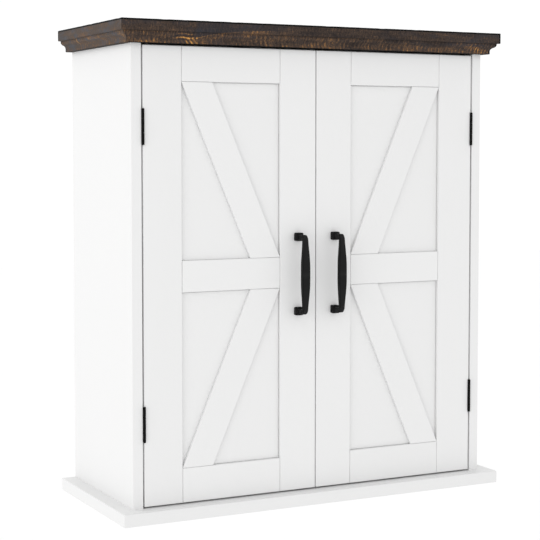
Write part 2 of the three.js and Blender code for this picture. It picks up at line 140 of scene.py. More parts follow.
class Wire:
    # One output of a material's node tree. Arithmetic on it adds the Math nodes.

    def __init__(self, tree, socket=None):
        self.tree = tree
        self.socket = socket

    def make(self, kind, settings=None, inputs=None, output=0):
        node = self.tree.nodes.new("ShaderNode" + kind)
        for name, value in (settings or {}).items():
            if name == "stops":
                while len(node.color_ramp.elements) < len(value):
                    node.color_ramp.elements.new(1)
                for stop, (position, colour) in zip(node.color_ramp.elements, value):
                    stop.position = position
                    stop.color = (*colour, 1)
            else:
                setattr(node, name, value)
        for name, value in (inputs or {}).items():
            self.feed(node.inputs[name], value)
        return Wire(self.tree, node.outputs[output])

    def feed(self, socket, value):
        if isinstance(value, Wire):
            self.tree.links.new(value.socket, socket)
        elif socket.type == "RGBA":
            socket.default_value = (*value, 1)
        else:
            socket.default_value = value

    def math(self, operation, *values):
        return self.make("Math", {"operation": operation}, dict(enumerate(values)))

    def __add__(self, other):
        return self.math("ADD", self, other)

    def __radd__(self, other):
        return self.math("ADD", other, self)

    def __sub__(self, other):
        return self.math("SUBTRACT", self, other)

    def __rsub__(self, other):
        return self.math("SUBTRACT", other, self)

    def __mul__(self, other):
        return self.math("MULTIPLY", self, other)

    def __rmul__(self, other):
        return self.math("MULTIPLY", other, self)

    def __truediv__(self, other):
        return self.math("DIVIDE", self, other)

    def __neg__(self):
        return self.math("MULTIPLY", self, -1)

    def sine(self):
        return self.math("SINE", self)

    def exp(self):
        return self.math("EXPONENT", self)

    def bell(self, middle, reach):
        offset = (self - middle) / reach
        return (-(offset * offset)).exp()

    def above(self, low, high):
        return self.make("MapRange", {"interpolation_type": "SMOOTHSTEP"}, {0: self, 1: low, 2: high})

    def below(self, low, high):
        return 1 - self.above(low, high)

    def blend(self, low, high):
        return self.make("Mix", {"data_type": "RGBA"}, {0: self, 6: low, 7: high}, 2)

    def speckle(self, scale, detail=2, roughness=0.5):
        # Noise, with one scale or a scale for each axis.
        scales = scale if isinstance(scale, tuple) else (scale,) * 3
        place = self.make("VectorMath", {"operation": "MULTIPLY"}, {0: self, 1: scales})
        inputs = {"Vector": place, "Scale": 1, "Detail": detail, "Roughness": roughness}
        return self.make("TexNoise", None, inputs)

    def speckles(self, settings, *names):
        return [self.speckle(*settings[name]) for name in names]

    def parts(self):
        return [self.make("SeparateXYZ", None, {0: self}, axis) for axis in range(3)]

    def relief(self, distance):
        return self.make("Bump", None, {"Height": self, "Distance": distance})


def stored(start, name, output=2):
    # What a mesh stores at its points: a vector on output 1 or a number on output 2.
    return start.make("Attribute", {"attribute_name": name}, None, output)


def objectSpace(start):
    return start.make("TexCoord", None, None, 3)


# In the finishes' settings, a noise is its scale, its detail and its roughness.

paint = {
    "light": (0.776, 0.776, 0.775),
    "shaded": (0.747, 0.747, 0.745),
    "roughness": 0.37,
    "mottle": (9, 3),
    "strokes": ((14, 620, 620), 3, 0.6),
    "peel": (1 / 0.0011, 1),  # orange peel left by the sprayed satin paint
    "peelDepth": 0.000018,
}


def whitePaint(start):
    place = stored(start, "boardSpace", 1)
    mottle, strokes, peel = place.speckles(paint, "mottle", "strokes", "peel")
    shade = 0.62 * stored(start, "boardTone") + 0.26 * mottle + 0.12 * strokes
    return {
        "Base Color": shade.blend(paint["shaded"], paint["light"]),
        "Roughness": paint["roughness"] + 0.1 * mottle + 0.06 * peel,
        "Specular IOR Level": 0.35,
        "Normal": (peel * 0.7 + strokes * 0.45).relief(paint["peelDepth"]),
    }


hardboard = {
    "face": (0.76, 0.76, 0.745),
    "light": (0.30, 0.185, 0.10),
    "dark": (0.17, 0.095, 0.048),
    "bareDepth": 0.0012,  # bare board, in from the rear face as far as the white coat
    "meshPitch": 0.0016,  # print of the press screen on the rear face
    "reliefDepth": 0.00008,
    "fibres": ((260, 260, 900), 5, 0.65),
    "flecks": ((700, 700, 240), 4, 0.6),
    "clouds": (7, 3),
}


def backBoard(start):
    place = objectSpace(start)
    x, y, z = place.parts()
    fibres, flecks, clouds = place.speckles(hardboard, "fibres", "flecks", "clouds")
    turns = math.tau / hardboard["meshPitch"]
    weave = (x * turns).sine() * (z * turns).sine()
    tone = (0.42 * fibres + 0.33 * flecks + 0.35 * clouds).above(0.38, 0.72)
    raw = tone.blend(hardboard["dark"], hardboard["light"])
    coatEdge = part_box("back_panel")[1].y - hardboard["bareDepth"]
    rear = y.above(coatEdge - 0.0001, coatEdge + 0.0001)
    white = (0.5 * clouds + 0.25 * flecks).blend(paint["shaded"], hardboard["face"])
    relief = rear * (weave * 0.25 + fibres * 0.6) + (1 - rear) * fibres * 0.25
    return {
        "Base Color": rear.blend(white, raw),
        "Roughness": 0.55 + rear * 0.25,
        "Specular IOR Level": 0.3,
        "Normal": relief.relief(hardboard["reliefDepth"]),
    }


wood = {
    "stops": [  # from charred to bare wood
        (0.00, (0.0040, 0.0034, 0.0044)),
        (0.25, (0.0205, 0.0148, 0.0136)),
        (0.45, (0.0510, 0.0350, 0.0270)),
        (0.62, (0.0980, 0.0590, 0.0370)),
        (0.80, (0.2300, 0.1150, 0.0450)),
        (1.00, (0.6400, 0.3200, 0.0800)),
    ],
    "smoke": (0.030, 0.032, 0.041),
    # the side runs are painted lighter and greyer than the front: weathering and a painted sheen
    "sideSmoke": (0.068, 0.074, 0.088),
    "weathered": (0.100, 0.084, 0.075),
    # charred arrises, and the painted shade on the moulding's underside
    "burnt": (0.0012, 0.0010, 0.0010),
    "heat": 0.400,  # how far up the stops the plain wood lies
    "grit": ((640, 560, 560), 3, 0.65),
    "marks": ((660, 150, 150), 3, 0.55),
    "fibres": ((30, 620, 620), 4, 0.6),
    "clouds": ((26, 120, 120), 3),
    "drift": ((8, 22, 22), 2),
    "veil": ((-40, 105, 105), 3),
    "reliefDepth": 0.00022,
    "sawPitch": 0.0056,
    "ogeeTop": 0.0132,  # above the moulding's foot
    "fasciaFoot": 0.0140,
    "crownTop": 0.0280,
    "burntEdge": 0.0023,
    "burntFade": 0.0003,
    "sideStripe": (-0.062, 0.0014),  # on the side runs: distance from the wall, and reach
    "sideRings": (-0.214, 0.010),
    "sideRingPitch": 0.0043,
}


def sawWave(along, height, sine):
    # Ridges left by the saw, nearly square to the grain, with a drifting pitch.
    drift = 0.8 * sine(along * 23.0) + 0.35 * sine(along * 61.0 + 1.7)
    drift = drift + 0.5 * sine(height * 160.0 + along * 9.0)
    return 0.5 + 0.5 * sine((along / wood["sawPitch"] + drift) * math.tau)


knots = {  # on the front run: place from its middle, and reach
    "left": (-0.181, 0.011),
    "cracks": (-0.190, 0.013),
    "leftEnd": (-0.238, 0.020),
    "right": (0.240, 0.018),
    "dabPitch": 0.0060,  # between the slanted dabs
    "dotPitch": 0.0037,  # between the right knot's dots
    "dotHeight": (0.0066, 0.0020),
}


def knotHeat(x, height, saw, grit):
    # The knot low on the front's left, the cracks beside it and the smaller knots near the ends.
    knot = x.bell(*knots["left"]) * height.below(0.0040, 0.0095)
    wave = height + 0.0005 * (x * 300).sine() + 0.0011 * (grit - 0.5)
    bright = wave.bell(0.0071, 0.0009) + 0.7 * wave.bell(0.0113, 0.0006)
    dark = wave.bell(0.0092, 0.0007) + wave.bell(0.0050, 0.0007)
    cracks = bright * (0.42 + 0.16 * grit.above(0.38, 0.60)) - 0.20 * dark
    dabs = ((x + 0.8 * height) * (math.tau / knots["dabPitch"])).sine().above(-0.5, 0.8)
    leftEnd = x.bell(*knots["leftEnd"]) * height.below(0.002, 0.006)
    dots = (x * (math.tau / knots["dotPitch"])).sine().above(-0.2, 0.8) * height.bell(*knots["dotHeight"])
    right = 0.08 * height.below(0.007, 0.011) + 0.08 * saw + 0.20 * dots
    extra = knot * (0.06 + 0.36 * dabs) + x.bell(*knots["cracks"]) * cracks
    extra = extra + leftEnd * (0.06 + 0.20 * dabs) + x.bell(*knots["right"]) * right
    return extra, 1 - 0.75 * knot


ring = {
    "foot": 0.0045,  # height at which the growth ring leaves the left knot
    "rise": 0.0145,
    "run": 0.040,
    "line": 0.0006,
    "fade": 0.0008,
}


def ringHeat(x, height, grit):
    # Warm wood under the growth ring that climbs to the right of the left knot, and cooler wood over it.
    past = x - knots["left"][0]
    over = height - (ring["foot"] + ring["rise"] * (1 - (-past / ring["run"]).exp()))
    shown = past.above(0.0, 0.008) * past.below(0.09, 0.17)
    cool = over.above(-ring["fade"], ring["fade"]) * shown
    line = over.bell(0, ring["line"]) * shown * (0.5 + 0.5 * grit.above(0.36, 0.58))
    line = line * (1 + past.bell(0.013, 0.010))
    return 0.06 * shown - 0.14 * cool + 0.18 * line, cool


stretches = {  # on the front run: place from its middle, and reach
    "warmMiddle": (0.002, 0.040),
    "warmLeft": (-0.238, 0.030),
    "calmLeft": (-0.125, 0.030),
    "calmRight": (0.190, 0.020),
    "calmFoot": (0.190, 0.030),
    "clearMiddle": (0.002, 0.090),
    "smokyRight": (0.240, 0.045),
}


def stretchHeat(x, height, saw):
    # Broad warm and calm stretches of the ogee along the front.
    foot = height.below(0.003, 0.010)
    warm = x.bell(*stretches["warmMiddle"]) * (0.02 + foot * (0.12 + 0.16 * saw))
    warm = warm + 0.05 * x.bell(*stretches["warmLeft"])
    calm = 0.10 * x.bell(*stretches["calmLeft"]) + 0.07 * x.bell(*stretches["calmRight"])
    return warm - calm


def burntStrip(distance, end):
    # The dark arris just before an end or an edge, but not the surface past it.
    start, fade = end - wood["burntEdge"], wood["burntFade"]
    return distance.above(start - fade, start + fade) * distance.below(end - fade, end - fade / 3)


def darkWood(start):
    place = stored(start, "boardSpace", 1)
    x, height, depth = place.parts()
    side = stored(start, "boardTone")
    front = 1 - side
    grit, marks, fibres = place.speckles(wood, "grit", "marks", "fibres")
    clouds, drift, veil = place.speckles(wood, "clouds", "drift", "veil")
    saw = sawWave(x, height, Wire.sine).above(0.30, 0.95) * (0.30 + 0.70 * marks.above(0.38, 0.62))
    inOgee = height.below(wood["ogeeTop"], wood["fasciaFoot"])
    lowEdge = height.below(0.001, 0.006) * (1 - front * x.bell(*stretches["calmFoot"]))
    knotty, calm = knotHeat(x, height, saw, grit)
    climb, cool = ringHeat(x, height, grit)
    stripe = x.bell(*wood["sideStripe"]) * height.below(0.0145, 0.0155)
    rings = ((x + 1.9 * height) * (math.tau / wood["sideRingPitch"])).sine().above(0.1, 0.9)
    rings = rings * x.bell(*wood["sideRings"])
    mottle = 0.70 * marks + 0.85 * grit + 0.3 * fibres + 0.45 * clouds + 0.40 * drift - 1.35
    heat = wood["heat"] + mottle * (1 - front * (1 - calm)) + 0.03 * saw
    heat = heat + inOgee * (0.04 + 0.09 * saw) + lowEdge * 0.12 * saw * veil.above(0.40, 0.60)
    heat = heat + front * (knotty + climb + inOgee * stretchHeat(x, height, saw))
    # The side runs get lighter, greyer wood: grey weathering and a painted sheen, besides their stripe and rings.
    heat = heat + side * (0.07 + 0.30 * stripe + 0.22 * rings * inOgee)

    colour = heat.make("ValToRGB", {"stops": wood["stops"]}, {0: heat})
    colour = (side * (0.45 - 0.30 * heat.above(0.45, 0.7))).blend(colour, wood["weathered"])
    smoky = veil.below(0.30, 0.56) * (0.36 + 0.32 * side) + 0.40 * cool * front
    smoky = smoky * (1 - 0.8 * front * x.bell(*stretches["clearMiddle"]))
    smoky = (smoky + 0.22 * front * x.bell(*stretches["smokyRight"])) * heat.below(0.58, 0.80)
    colour = smoky.blend(colour, side.blend(wood["smoke"], wood["sideSmoke"]))
    burnt = front * burntStrip(x + depth, cadHigh.x) + side * burntStrip(x, 0.0)
    burnt = burnt + burntStrip(height, wood["crownTop"])
    # The underside is painted near black: painted shade over the gap above the doors.
    burnt = burnt + height.below(0.0, 0.0006) * (0.70 + 0.30 * front)
    return {
        "Base Color": burnt.blend(colour, wood["burnt"]),
        "Roughness": 0.64 + 0.2 * fibres,
        "Specular IOR Level": 0.15,
        "Normal": (saw * 0.4 + fibres * 0.8 + grit * 0.35).relief(wood["reliefDepth"]),
    }


iron = {
    "colour": (0.0012, 0.0012, 0.0013),
    # the painted sheen on the front-facing facets of the pulls
    "rubbed": (0.0125, 0.0125, 0.0128),
    "specular": 0.10,
    "grain": (1700, 3, 0.6),
    "dents": (260, 2),
    "clouds": (38, 2),
    "reliefDepth": 0.00006,
}


def blackIron(start):
    grain, dents, clouds = objectSpace(start).speckles(iron, "grain", "dents", "clouds")
    # Facets that face the front are painted lighter: a painted sheen, flecked by the dents.
    rubbed = (stored(start, "polish") * (0.75 + 0.5 * clouds) + 0.15 * dents).above(0.0, 1.2)
    return {
        "Base Color": rubbed.blend(iron["colour"], iron["rubbed"]),
        "Roughness": 0.46 + 0.14 * grain,
        "Specular IOR Level": iron["specular"],
        "Normal": (grain * 0.5 + dents).relief(iron["reliefDepth"]),
    }


zinc = {
    "bright": (0.66, 0.665, 0.675),
    "dull": (0.57, 0.575, 0.585),
    "spangle": (1500, 3, 0.6),
    "scratches": ((2600, 2600, 130), 3, 0.6),
    "reliefDepth": 0.00002,
}


def zincSteel(start):
    spangle, scratches = objectSpace(start).speckles(zinc, "spangle", "scratches")
    return {
        "Base Color": spangle.above(0.3, 0.7).blend(zinc["dull"], zinc["bright"]),
        "Metallic": 1.0,
        "Roughness": 0.34 + 0.06 * spangle + 0.05 * scratches,
        "Normal": (scratches + spangle * 0.4).relief(zinc["reliefDepth"]),
    }


plastic = {
    "dull": (0.73, 0.73, 0.715),
    "bright": (0.78, 0.78, 0.77),
    "etching": (3200, 2),
    "clouds": (60, 2),
    "reliefDepth": 0.00002,
}


def catchPlastic(start):
    place = objectSpace(start)
    etching = place.speckle(*plastic["etching"])
    return {
        "Base Color": place.speckle(*plastic["clouds"]).blend(plastic["dull"], plastic["bright"]),
        "Roughness": 0.38 + 0.12 * etching,
        "Normal": etching.relief(plastic["reliefDepth"]),
    }


ferrite = {
    "dark": (0.02, 0.02, 0.022),
    "light": (0.05, 0.05, 0.054),
    "grain": (1500, 3),
    "reliefDepth": 0.00003,
}


def magnetFerrite(start):
    grain = objectSpace(start).speckle(*ferrite["grain"])
    return {
        "Base Color": grain.blend(ferrite["dark"], ferrite["light"]),
        "Roughness": 0.6 + 0.2 * grain,
        "Normal": grain.relief(ferrite["reliefDepth"]),
    }


def studioFloor(start):
    clouds = objectSpace(start).speckle(*studio["floorClouds"])
    return {
        "Base Color": clouds.blend(studio["floorDull"], studio["floorPale"]),
        "Roughness": 0.8 + 0.1 * clouds,
    }


def finishFrom(recipe):
    material = bpy.data.materials.new(recipe.__name__)
    material.use_nodes = True
    shader = material.node_tree.nodes["Principled BSDF"]
    start = Wire(material.node_tree)
    for socket, value in recipe(start).items():
        start.feed(shader.inputs[socket], value)
    return material


def makeFloor():
    shape = gridShape(1, studio["floorSize"] / 2)
    bmesh.ops.translate(shape, verts=shape.verts, vec=(0, 0, cadLow.z - studio["floorDrop"]))
    mesh = meshFrom("floor", shape)
    mesh.materials.append(finishFrom(studioFloor))
    link(bpy.data.objects.new("floor", mesh))


makeCamera()
makeLights()
makeFloor()
finishes = {
    "white_paint": finishFrom(whitePaint),
    "back_board": finishFrom(backBoard),
    "dark_wood": finishFrom(darkWood),
    "black_iron": finishFrom(blackIron),
    "zinc_steel": finishFrom(zincSteel),
    "catch_plastic": finishFrom(catchPlastic),
}
magnetFinish = finishFrom(magnetFerrite)
print("camera, lights, floor and finishes are ready")


def mergedCopy(node):
    # A CAD node's loose triangles, welded, with their flat faces made whole.
    shape = bmesh.new()
    shape.from_mesh(frame["nodes"][node].data)
    bmesh.ops.remove_doubles(shape, verts=shape.verts, dist=hair)
    bmesh.ops.dissolve_limit(
        shape, angle_limit=math.radians(0.5), use_dissolve_boundaries=False,
        verts=shape.verts, edges=shape.edges, delimit=set())
    return shape


def boxShape(low, high):
    shape = bmesh.new()
    low, high = Vector(low), Vector(high)
    bmesh.ops.create_cube(shape, size=1)
    bmesh.ops.scale(shape, verts=shape.verts, vec=high - low)
    bmesh.ops.translate(shape, verts=shape.verts, vec=(low + high) / 2)
    return shape


def rodShape(radius, start, end, steps=32):
    start, end = Vector(start), Vector(end)
    turn = (end - start).to_track_quat("Z", "Y").to_matrix().to_4x4()
    shape = bmesh.new()
    bmesh.ops.create_cone(
        shape, cap_ends=True, cap_tris=False, segments=steps, radius1=radius, radius2=radius,
        depth=(end - start).length, matrix=Matrix.Translation((start + end) / 2) @ turn)
    return shape


def faceOut(shape):
    bmesh.ops.recalc_face_normals(shape, faces=shape.faces)


def latheShape(profile, steps):
    # Turns a profile of (radius, height) points that starts and ends on the Z axis.
    shape = bmesh.new()
    points = [shape.verts.new((radius, 0, height)) for radius, height in profile]
    edges = [shape.edges.new(pair) for pair in zip(points, points[1:])]
    bmesh.ops.spin(
        shape, geom=points + edges, cent=(0, 0, 0), axis=(0, 0, 1), angle=math.tau,
        steps=steps, use_merge=True)
    bmesh.ops.remove_doubles(shape, verts=shape.verts, dist=weld)
    faceOut(shape)
    return shape


def picked(items, kind):
    return [item for item in items if isinstance(item, kind)]


def drawnOut(shape, faces, move):
    # Extrudes the faces, and gives the points at the far end.
    grown = bmesh.ops.extrude_face_region(shape, geom=list(faces))
    far = picked(grown["geom"], bmesh.types.BMVert)
    bmesh.ops.translate(shape, verts=far, vec=move)
    return far


def runsAlong(edge, axis):
    return abs((edge.verts[1].co - edge.verts[0].co).normalized()[axis]) > 0.99


def isArris(edge):
    return edge.is_manifold and edge.is_convex and edge.calc_face_angle() > sharpAngle


def bevelled(shape, edges, width, segments):
    return bmesh.ops.bevel(
        shape, geom=edges, offset=width, offset_type="OFFSET", affect="EDGES",
        segments=segments, profile=0.5, material=-1, clamp_overlap=True)


def easeEdges(shape, width, segments=1, shortest=0, smallestFace=0):
    # Eases the sharp outer edges that are longer, and lie between larger faces, than given.
    edges = [
        edge for edge in shape.edges if isArris(edge) and edge.calc_length() > shortest
        and min(face.calc_area() for face in edge.link_faces) > smallestFace]
    bevelled(shape, edges, width, segments)


def roundEdges(shape, chosen, radius):
    # Rounds the edges whose middles are chosen.
    edges = [edge for edge in shape.edges if chosen((edge.verts[0].co + edge.verts[1].co) / 2)]
    bevelled(shape, edges, radius, 4)


def roundCorners(shape, axis, radius):
    # Rounds the edges of a box that run along one axis.
    bevelled(shape, [edge for edge in shape.edges if runsAlong(edge, axis)], radius, 4)


def merged(shapes):
    # Puts several shapes into the first one.
    whole, *others = shapes
    for other in others:
        mesh = meshFrom("spare", other)
        whole.from_mesh(mesh)
        bpy.data.meshes.remove(mesh)
    return whole


def carved(shape, tool, operation="DIFFERENCE"):
    # Cuts or joins two closed shapes.
    pair = [link(bpy.data.objects.new("spare", meshFrom("spare", part))) for part in (shape, tool)]
    cutter = pair[0].modifiers.new("carve", "BOOLEAN")
    cutter.solver = "EXACT"
    cutter.operation = operation
    cutter.object = pair[1]
    bpy.context.view_layer.update()
    result = bmesh.new()
    result.from_object(pair[0], bpy.context.evaluated_depsgraph_get())
    for spare in pair:
        mesh = spare.data
        bpy.data.objects.remove(spare)
        bpy.data.meshes.remove(mesh)
    bmesh.ops.remove_doubles(result, verts=result.verts, dist=weld)
    return result


def transformed(shape, matrix):
    copy = shape.copy()
    bmesh.ops.transform(copy, matrix=matrix, verts=copy.verts)
    if matrix.determinant() < 0:
        bmesh.ops.reverse_faces(copy, faces=copy.faces)
    return copy


def copiesAt(shape, places):
    # Uses a shape up for one that holds a copy of it at each place.
    copies = [transformed(shape, place) for place in places]
    shape.free()
    return merged(copies)


def at(x, y, z, side=1):
    # Where a piece goes, turned into its mirror image where side is -1.
    return Matrix.Translation((x, y, z)) @ Matrix.Scale(side, 4, (1, 0, 0))


toWall = Matrix.Rotation(-math.pi / 2, 4, "X")  # turns +Z to +Y


def markBoard(shape, spaceOf, tone):
    # Stores each point's place in the board's own pattern: along the grain, across it and through it.
    space = shape.verts.layers.float_vector.new("boardSpace")
    shade = shape.verts.layers.float.new("boardTone")
    for vert in shape.verts:
        vert[space] = spaceOf(vert.co)
        vert[shade] = tone


def addPiece(name, shape, body, slot, nodes=(), material=None):
    for face in shape.faces:
        face.smooth = True
    mesh = meshFrom(name, shape)
    mesh.set_sharp_from_angle(angle=smoothAngle)
    mesh.materials.append(material or finishes[slot])
    piece = link(bpy.data.objects.new(name, mesh))
    if slot != "dark_wood":  # its relief shows in its own normals
        piece.modifiers.new("evenNormals", "WEIGHTED_NORMAL").keep_sharp = True
    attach(piece, body)
    if nodes:
        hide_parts(*nodes)


def replaceNode(node, ending, shape):
    addPiece(node + ending, shape, bodyOf[node], slotOf[node], [node])


boards = {
    "arris": 0.0008,  # width of the eased edges, which show as fine lines at the joints
    "arrisSteps": 2,
    "shortest": 0.011,  # edges shorter than this stay sharp
    "smallestFace": 1e-4,  # and so do those of smaller faces
    "spread": 40.0,  # how far apart the boards lie in the paint's pattern
    "tones": (0.35, 1.0),
    # the base board's tone, below every other board's: a darker paint, and painted shade
    "baseTone": -0.4,
    "jointGap": 0.00023,  # at each end of a door's rails and braces
    "grooveDepth": 0.0012,  # between a door's panel and the frame round it
    "grooveSides": (0.0005, 0.0007),
    "grooveHead": 0.0011,
    "grooveFeet": (0.0008, 0.0002),
}


def shortened(shape, along, gap):
    # Takes a little off both ends of a board.
    reach = [vert.co.dot(along) for vert in shape.verts]
    middle = along * (min(reach) + max(reach)) / 2
    shrink = Matrix.Scale(1 - 2 * gap / (max(reach) - min(reach)), 4, along)
    bmesh.ops.transform(
        shape, matrix=Matrix.Translation(middle) @ shrink @ Matrix.Translation(-middle), verts=shape.verts)


def ringCutter(low, high, foot):
    # A thin rectangular ring just inside an opening, across the panel's front face.
    shape = gridShape(1, 0.5)
    bmesh.ops.rotate(shape, verts=shape.verts, matrix=Matrix.Rotation(math.pi / 2, 3, "X"))
    bmesh.ops.scale(shape, verts=shape.verts, vec=(high.x - low.x, 1, high.z - low.z))
    opening = list(shape.faces)
    left, right = boards["grooveSides"]
    bmesh.ops.inset_region(shape, faces=opening, thickness=left, use_even_offset=True, use_boundary=True)
    for vert in opening[0].verts:
        if vert.co.x > 0:
            vert.co.x -= right - left
        vert.co.z += foot - left if vert.co.z < 0 else left - boards["grooveHead"]
    bmesh.ops.delete(shape, geom=opening, context="FACES")
    bmesh.ops.solidify(shape, geom=list(shape.faces), thickness=2 * boards["grooveDepth"])
    front = min(vert.co.y for vert in shape.verts)
    middle = (low + high) / 2
    bmesh.ops.translate(
        shape, verts=shape.verts, vec=(middle.x, low.y - boards["grooveDepth"] - front, middle.z))
    faceOut(shape)
    return shape


def grooved(shape, node):
    # Leaves a fine gap all round both openings of a door's frame.
    door = node.replace("panel", "")
    stiles = sorted([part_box(door + "hinge_stile"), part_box(door + "lock_stile")], key=lambda box: box[0].x)
    rails = [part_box(door + rail) for rail in ("bottom_rail", "mid_rail", "top_rail")]
    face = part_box(node)[0].y
    for below, above, foot in zip(rails, rails[1:], boards["grooveFeet"]):
        low = Vector((stiles[0][1].x, face, below[1].z))
        high = Vector((stiles[1][0].x, face, above[0].z))
        shape = carved(shape, ringCutter(low, high, foot))
    return shape


def addBoard(node):
    draw = random.Random(node)
    shape = mergedCopy(node)
    low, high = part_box(node)
    size = list(high - low)
    through = Vector([float(axis == size.index(min(size))) for axis in range(3)])
    along = Vector([float(axis == size.index(max(size))) for axis in range(3)])
    if "brace" in node:
        longest = max(shape.edges, key=lambda edge: edge.calc_length())
        along = (longest.verts[1].co - longest.verts[0].co).normalized()
    if "door" in node and ("rail" in node or "brace" in node):
        shortened(shape, along, boards["jointGap"])
    turn = Matrix((along, through.cross(along), through))
    shift = Vector([draw.uniform(-1, 1) for axis in range(3)]) * boards["spread"]
    easeEdges(shape, boards["arris"], boards["arrisSteps"], boards["shortest"], boards["smallestFace"])
    if "door_panel" in node:
        shape = grooved(shape, node)
    if node == "back_panel":
        shape = dimpled(shape)
    # The base board is painted darker than the rest: a darker tone and painted shade.
    tone = boards["baseTone"] if node == "base_board" else draw.uniform(*boards["tones"])
    markBoard(shape, lambda place: turn @ place + shift, tone)
    replaceNode(node, "_eased", shape)


nails = {
    "inset": 0.0027,  # from the back panel's side edges
    "margin": 0.018,  # of the first and last nails, from its foot and its head
    "perSide": 7,
    "perRail": 4,
    "head": 0.0019,
    "flat": 0.7,  # share of the head inside its chamfer
    "chamfer": 0.0002,
    "shaft": 0.0006,
    "length": 0.014,
    "tip": 0.002,
    "sunk": 0.0001,
    "dimple": 0.0022,
    "dimpleDepth": 0.0005,
}


def nailPlaces():
    # Up both side panels, and across the top board and the lower rail.
    low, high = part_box("back_panel")
    rails = [sum((corner.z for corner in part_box(node)), 0.0) / 2 for node in ("lower_back_rail", "top_board")]
    reach = (high.x - low.x) / 2 - nails["inset"]
    foot, head = low.z + nails["margin"], high.z - nails["margin"]
    for side in (-1, 1):
        for step in range(nails["perSide"]):
            yield Vector((side * reach, high.y, foot + (head - foot) * step / (nails["perSide"] - 1)))
    for level in rails:
        for step in range(nails["perRail"]):
            yield Vector((reach * (2 * (step + 0.5) / nails["perRail"] - 1), high.y, level))


def dimpled(shape):
    deep, clear = Vector((0, nails["dimpleDepth"], 0)), Vector((0, 0.001, 0))
    tools = [rodShape(nails["dimple"], place - deep, place + clear, 20) for place in nailPlaces()]
    return carved(shape, merged(tools))


def addNails():
    head, shaft, top, chamfer = nails["head"], nails["shaft"], -nails["sunk"], nails["chamfer"]
    nail = latheShape([
        (0, top), (head * nails["flat"], top), (head, top - chamfer), (head, top - 2 * chamfer),
        (shaft, top - 3 * chamfer), (shaft, nails["tip"] - nails["length"]), (0, -nails["length"])], 16)
    places = [Matrix.Translation(place) @ toWall for place in nailPlaces()]
    addPiece("back_nails", copiesAt(nail, places), "case", "zinc_steel")


for node in frame["nodes"]:
    if slotOf[node] == "white_paint":
        addBoard(node)
addBoard("back_panel")
addNails()
print("boards are eased and painted")


crown = {
    "member": 0.050,
    "footInset": 0.0104,
    "footHeight": 0.0039,
    "ledgeDepth": 0.0036,
    "ogeeSteps": 5,  # in each of the ogee's two arcs
    "mitreGap": 0.0003,
    "arris": 0.0007,
    "rowHeight": 0.0019,  # mesh rows on the faces that show, for the sawn relief
    "topRow": 0.006,
    "step": 0.0011,
    "sawDepth": 0.00012,
    "weather": 0.00022,
    "nicks": 0.0006,
    "nickLevel": 0.18,  # of the noise, over which an arris is nicked
    "endCalm": 0.004,  # the relief dies out this far from a mitre
    "rough": (60, 400, 3.0),  # noises: waves per metre along and up, and which one it is
    "broad": (14, 90, 9.0),
    "nicked": (75, 30, 20.0),
}


def crownOutline(shape, height):
    # Outline of the moulding: x inwards from its face, z up from its foot.
    points = [
        (crown["member"], 0), (crown["member"], height), (0, height), (0, wood["fasciaFoot"]),
        (crown["ledgeDepth"], wood["fasciaFoot"]), (crown["ledgeDepth"], wood["ogeeTop"]),
    ]
    corners = [shape.verts.new((x, 0, z)) for x, z in points]
    run = (crown["footInset"] - crown["ledgeDepth"]) / 2
    fall = (wood["ogeeTop"] - crown["footHeight"]) / 2
    radius = (run ** 2 + fall ** 2) / (2 * run)
    turn = math.asin(fall / radius)
    arcEnd = corners[-1]
    for centreX, angle in ((crown["ledgeDepth"] + radius, -turn), (crown["footInset"] - radius, turn)):
        level = arcEnd.co.z if angle < 0 else crown["footHeight"]
        arc = bmesh.ops.spin(
            shape, geom=[arcEnd], cent=(centreX, 0, level), axis=(0, 1, 0), angle=angle,
            steps=crown["ogeeSteps"], use_merge=False)
        arcEnd = picked(arc["geom_last"], bmesh.types.BMVert)[0]
    foot = shape.verts.new((crown["footInset"], 0, 0))
    for pair in [*zip(corners, corners[1:]), (arcEnd, foot), (foot, corners[0])]:
        shape.edges.new(pair)
    for edge in list(shape.edges):
        middle = (edge.verts[0].co + edge.verts[1].co) / 2
        hidden = middle.z < hair or middle.x > crown["member"] - hair
        row = crown["topRow"] if middle.z > height - hair else crown["rowHeight"]
        cuts = 0 if hidden else round(edge.calc_length() / row) - 1
        if cuts > 0:
            bmesh.ops.subdivide_edges(shape, edges=[edge], cuts=cuts)


def sampled(x, height, layer):
    along, up, which = crown[layer]
    return noise.noise(Vector((x * along, height * up, which)))


def crownRelief(shape, length, start, mitres):
    # Presses the saw marks, the weathering and the nicked arrises into the faces that show.
    shape.normal_update()
    arris = shape.verts.layers.float["arris"]
    moves = []
    for vert in shape.verts:
        x, height = vert.co.y + start, vert.co.z
        toEnd = vert.co.y if mitres == 1 else min(vert.co.y, length - vert.co.y)
        calm = max(0.0, min(1.0, (toEnd - vert.co.x) / crown["endCalm"]))
        if height < hair or vert.co.x > crown["member"] - hair:
            calm = 0.0
        rough = sampled(x, height, "rough") * 0.5 + 0.5
        broad = sampled(x, height, "broad") * 0.5 + 0.5
        nick = max(0.0, sampled(x, height, "nicked") - crown["nickLevel"]) * vert[arris]
        kerf = crown["sawDepth"] * (1 - sawWave(x, height, math.sin)) * rough
        moves.append(-vert.normal * calm * (kerf + crown["weather"] * broad * rough + crown["nicks"] * nick))
    for vert, move in zip(shape.verts, moves):
        vert.co += move


